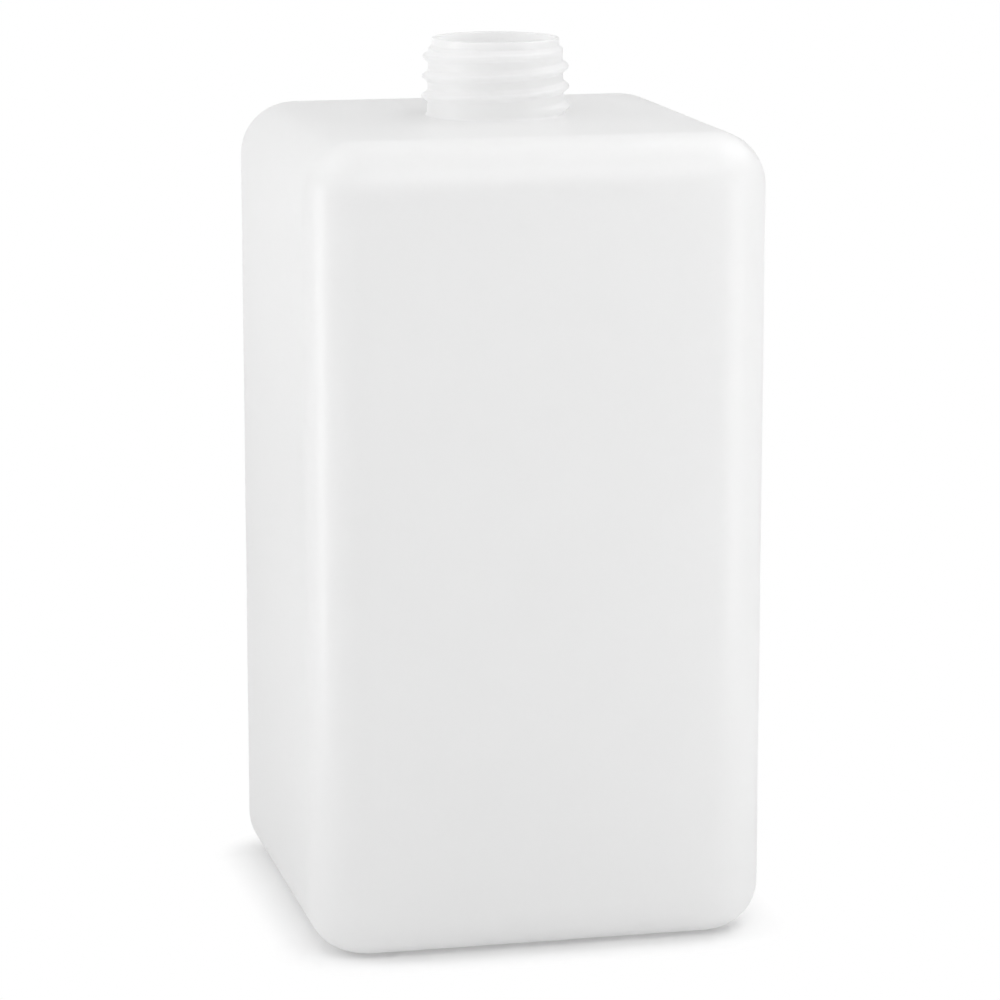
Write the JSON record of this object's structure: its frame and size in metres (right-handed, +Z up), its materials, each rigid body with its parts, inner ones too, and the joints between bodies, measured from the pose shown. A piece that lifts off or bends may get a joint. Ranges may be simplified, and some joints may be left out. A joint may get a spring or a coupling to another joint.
{
  "type": "narrow-neck chemical bottle",
  "caption": "Square blow-moulded bottle in translucent polyethylene, with rounded edges, a raised base and a narrow threaded neck, open and empty, for storing liquid chemicals.",
  "frame": {"origin": "on the floor plane under the middle of the bottle, which is also the neck's axis", "axes": "+Z up along the neck's axis, -Y out of the front face, X to the sides"},
  "size_m": [0.087, 0.087, 0.1672],
  "materials": {
    "natural_polyethylene": "milky translucent, unpigmented, satin gloss"
  },
  "bodies": {
    "root": {"bottle": "natural_polyethylene"}
  },
  "joints": []
}
